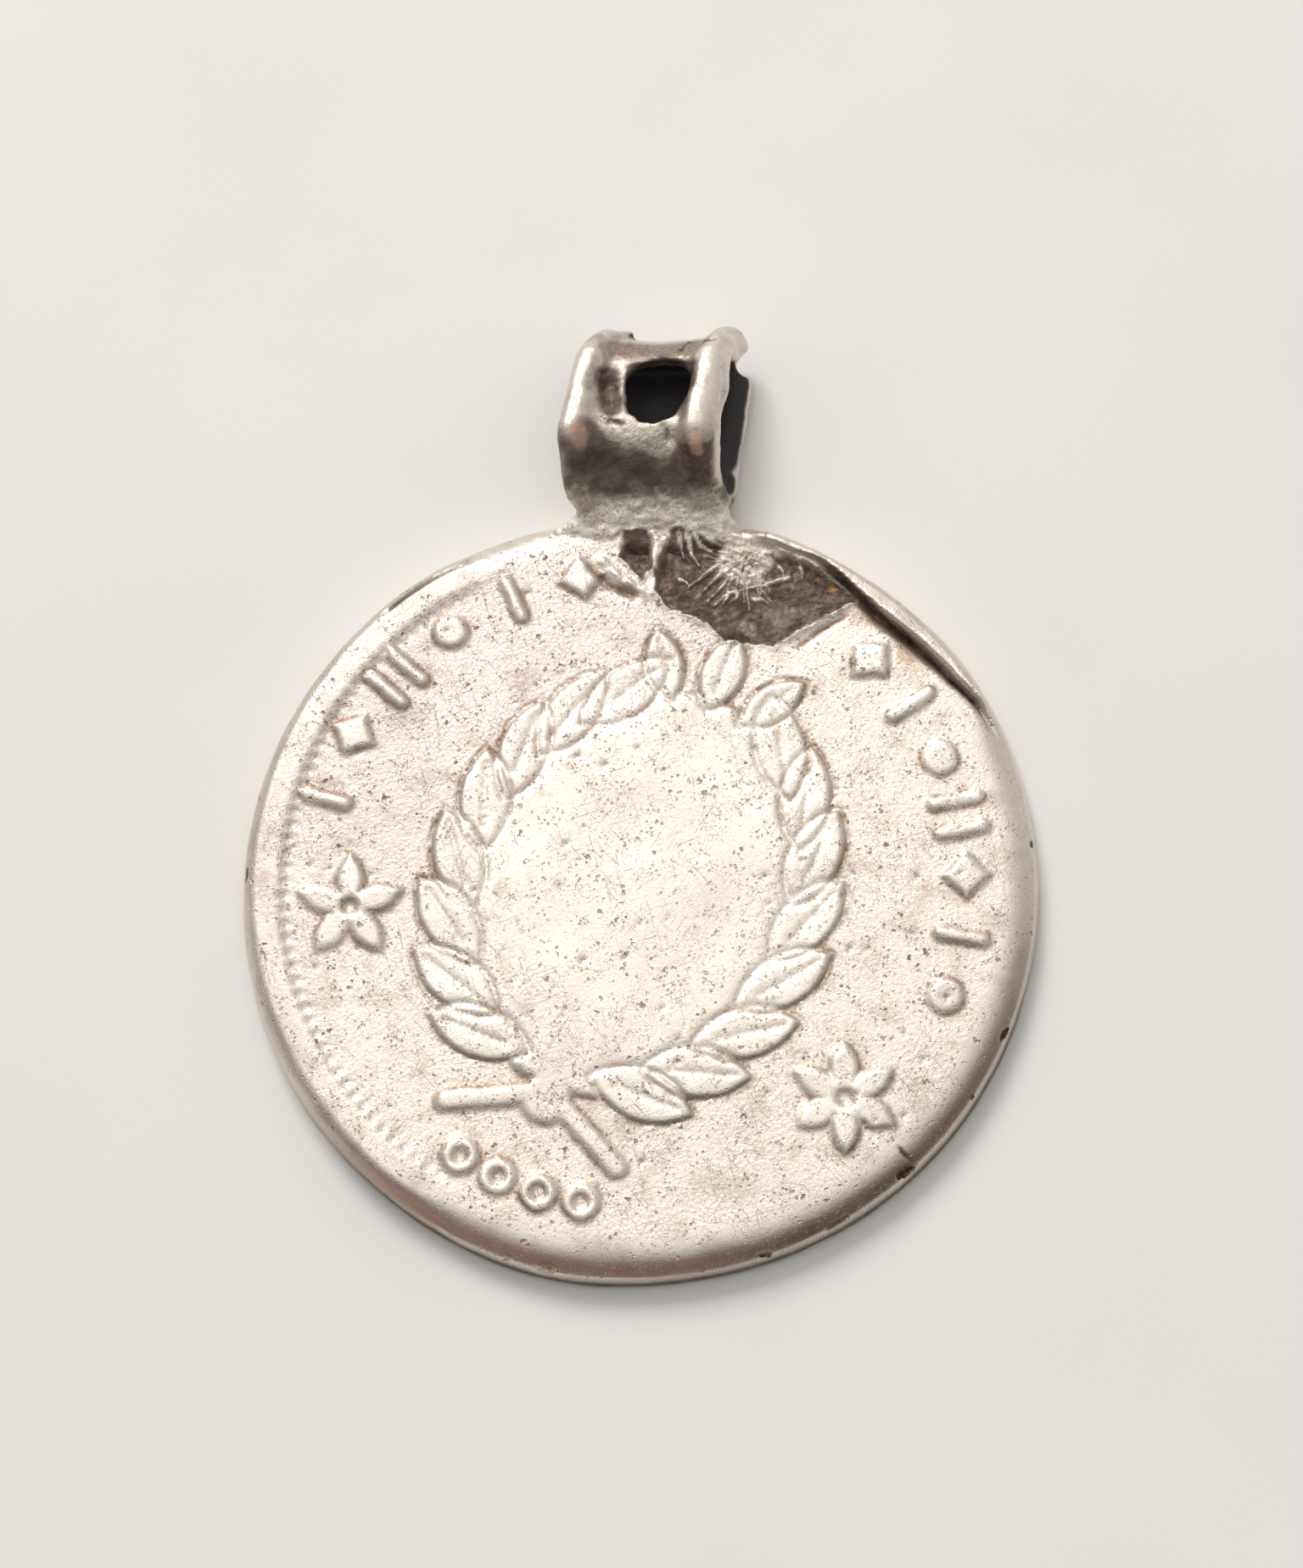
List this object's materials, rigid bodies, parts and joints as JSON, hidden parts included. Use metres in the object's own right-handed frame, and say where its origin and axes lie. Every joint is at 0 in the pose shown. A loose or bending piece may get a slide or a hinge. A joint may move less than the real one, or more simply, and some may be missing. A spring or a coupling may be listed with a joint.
{
  "type": "coin pendant",
  "caption": "Worn silver coin pendant: a flat disc in low relief with a hand-made strap bail soldered to its edge.",
  "frame": {"origin": "centre of the coin's flat back face, the face that it lies on", "axes": "+Z out of the struck face, +Y from the coin's centre to the bail, +X along the bail's opening, the way a chain runs"},
  "size_m": [0.027, 0.0335, 0.0041],
  "materials": {
    "silver": "worn, pitted and scratched silver, brown tarnish in the recesses, dark scale on the solder and the bail's lower half"
  },
  "bodies": {
    "root": {"coin_pendant": "silver"}
  },
  "joints": []
}
